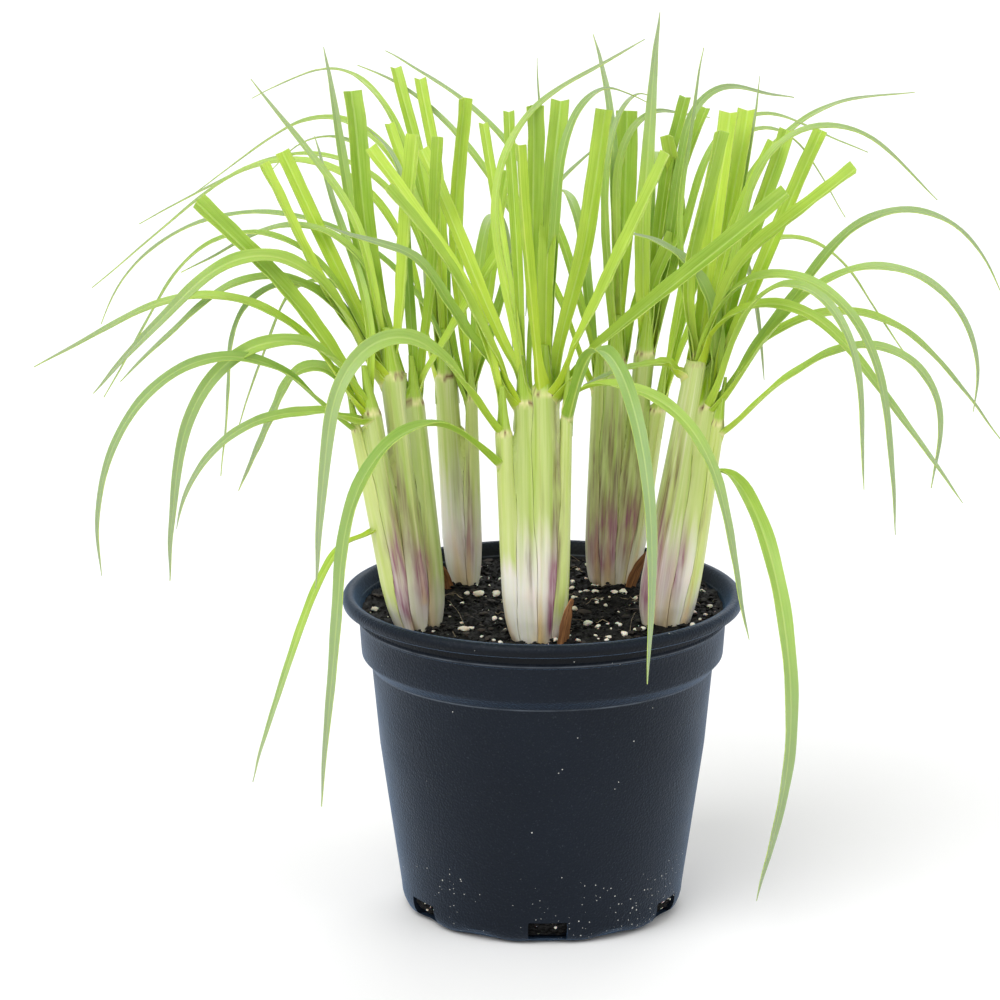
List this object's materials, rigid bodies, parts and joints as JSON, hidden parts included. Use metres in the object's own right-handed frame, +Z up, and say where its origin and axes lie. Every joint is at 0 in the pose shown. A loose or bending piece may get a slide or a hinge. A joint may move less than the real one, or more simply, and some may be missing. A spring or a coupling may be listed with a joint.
{
  "type": "lemongrass plant in a nursery pot",
  "caption": "Clumps of lemongrass stems with long narrow arching leaves, some cut square, growing in soil in a round tapered plastic pot with a rolled rim and drainage holes.",
  "frame": {"origin": "middle of the flat underside of the pot", "axes": "+Z up, -Y towards the front of the plant, +X to the right seen from the front"},
  "size_m": [0.4832, 0.4788, 0.4456],
  "materials": {
    "pot": "near-black blue-grey plastic with a fine grain, a little shinier on the rim",
    "soil": "dark loose potting mix of bark and peat with white perlite",
    "leaf": "living leaf, yellow-green and semi-matt, with pale sheaths at the foot",
    "husk": "dry brown papery leaf sheath"
  },
  "bodies": {
    "root": {"pot": "pot", "soil": "soil", "front_left_shoot": "leaf", "front_left_stem": "leaf", "front_right_stem": "leaf", "front_right_shoot": "leaf", "left_outer_shoot": "leaf", "left_low_stem": "leaf", "left_main_stem": "leaf", "left_green_stem": "leaf", "back_left_stem": "leaf", "back_left_slim_stem": "leaf", "back_right_slim_stem": "leaf", "back_right_main_stem": "leaf", "back_right_mid_stem": "leaf", "back_right_outer_stem": "leaf", "right_main_stem": "leaf", "right_side_stem": "leaf", "right_outer_shoot": "leaf", "front_dry_husk": "husk", "back_left_dry_husk": "husk", "back_right_dry_husk": "husk"}
  },
  "joints": []
}
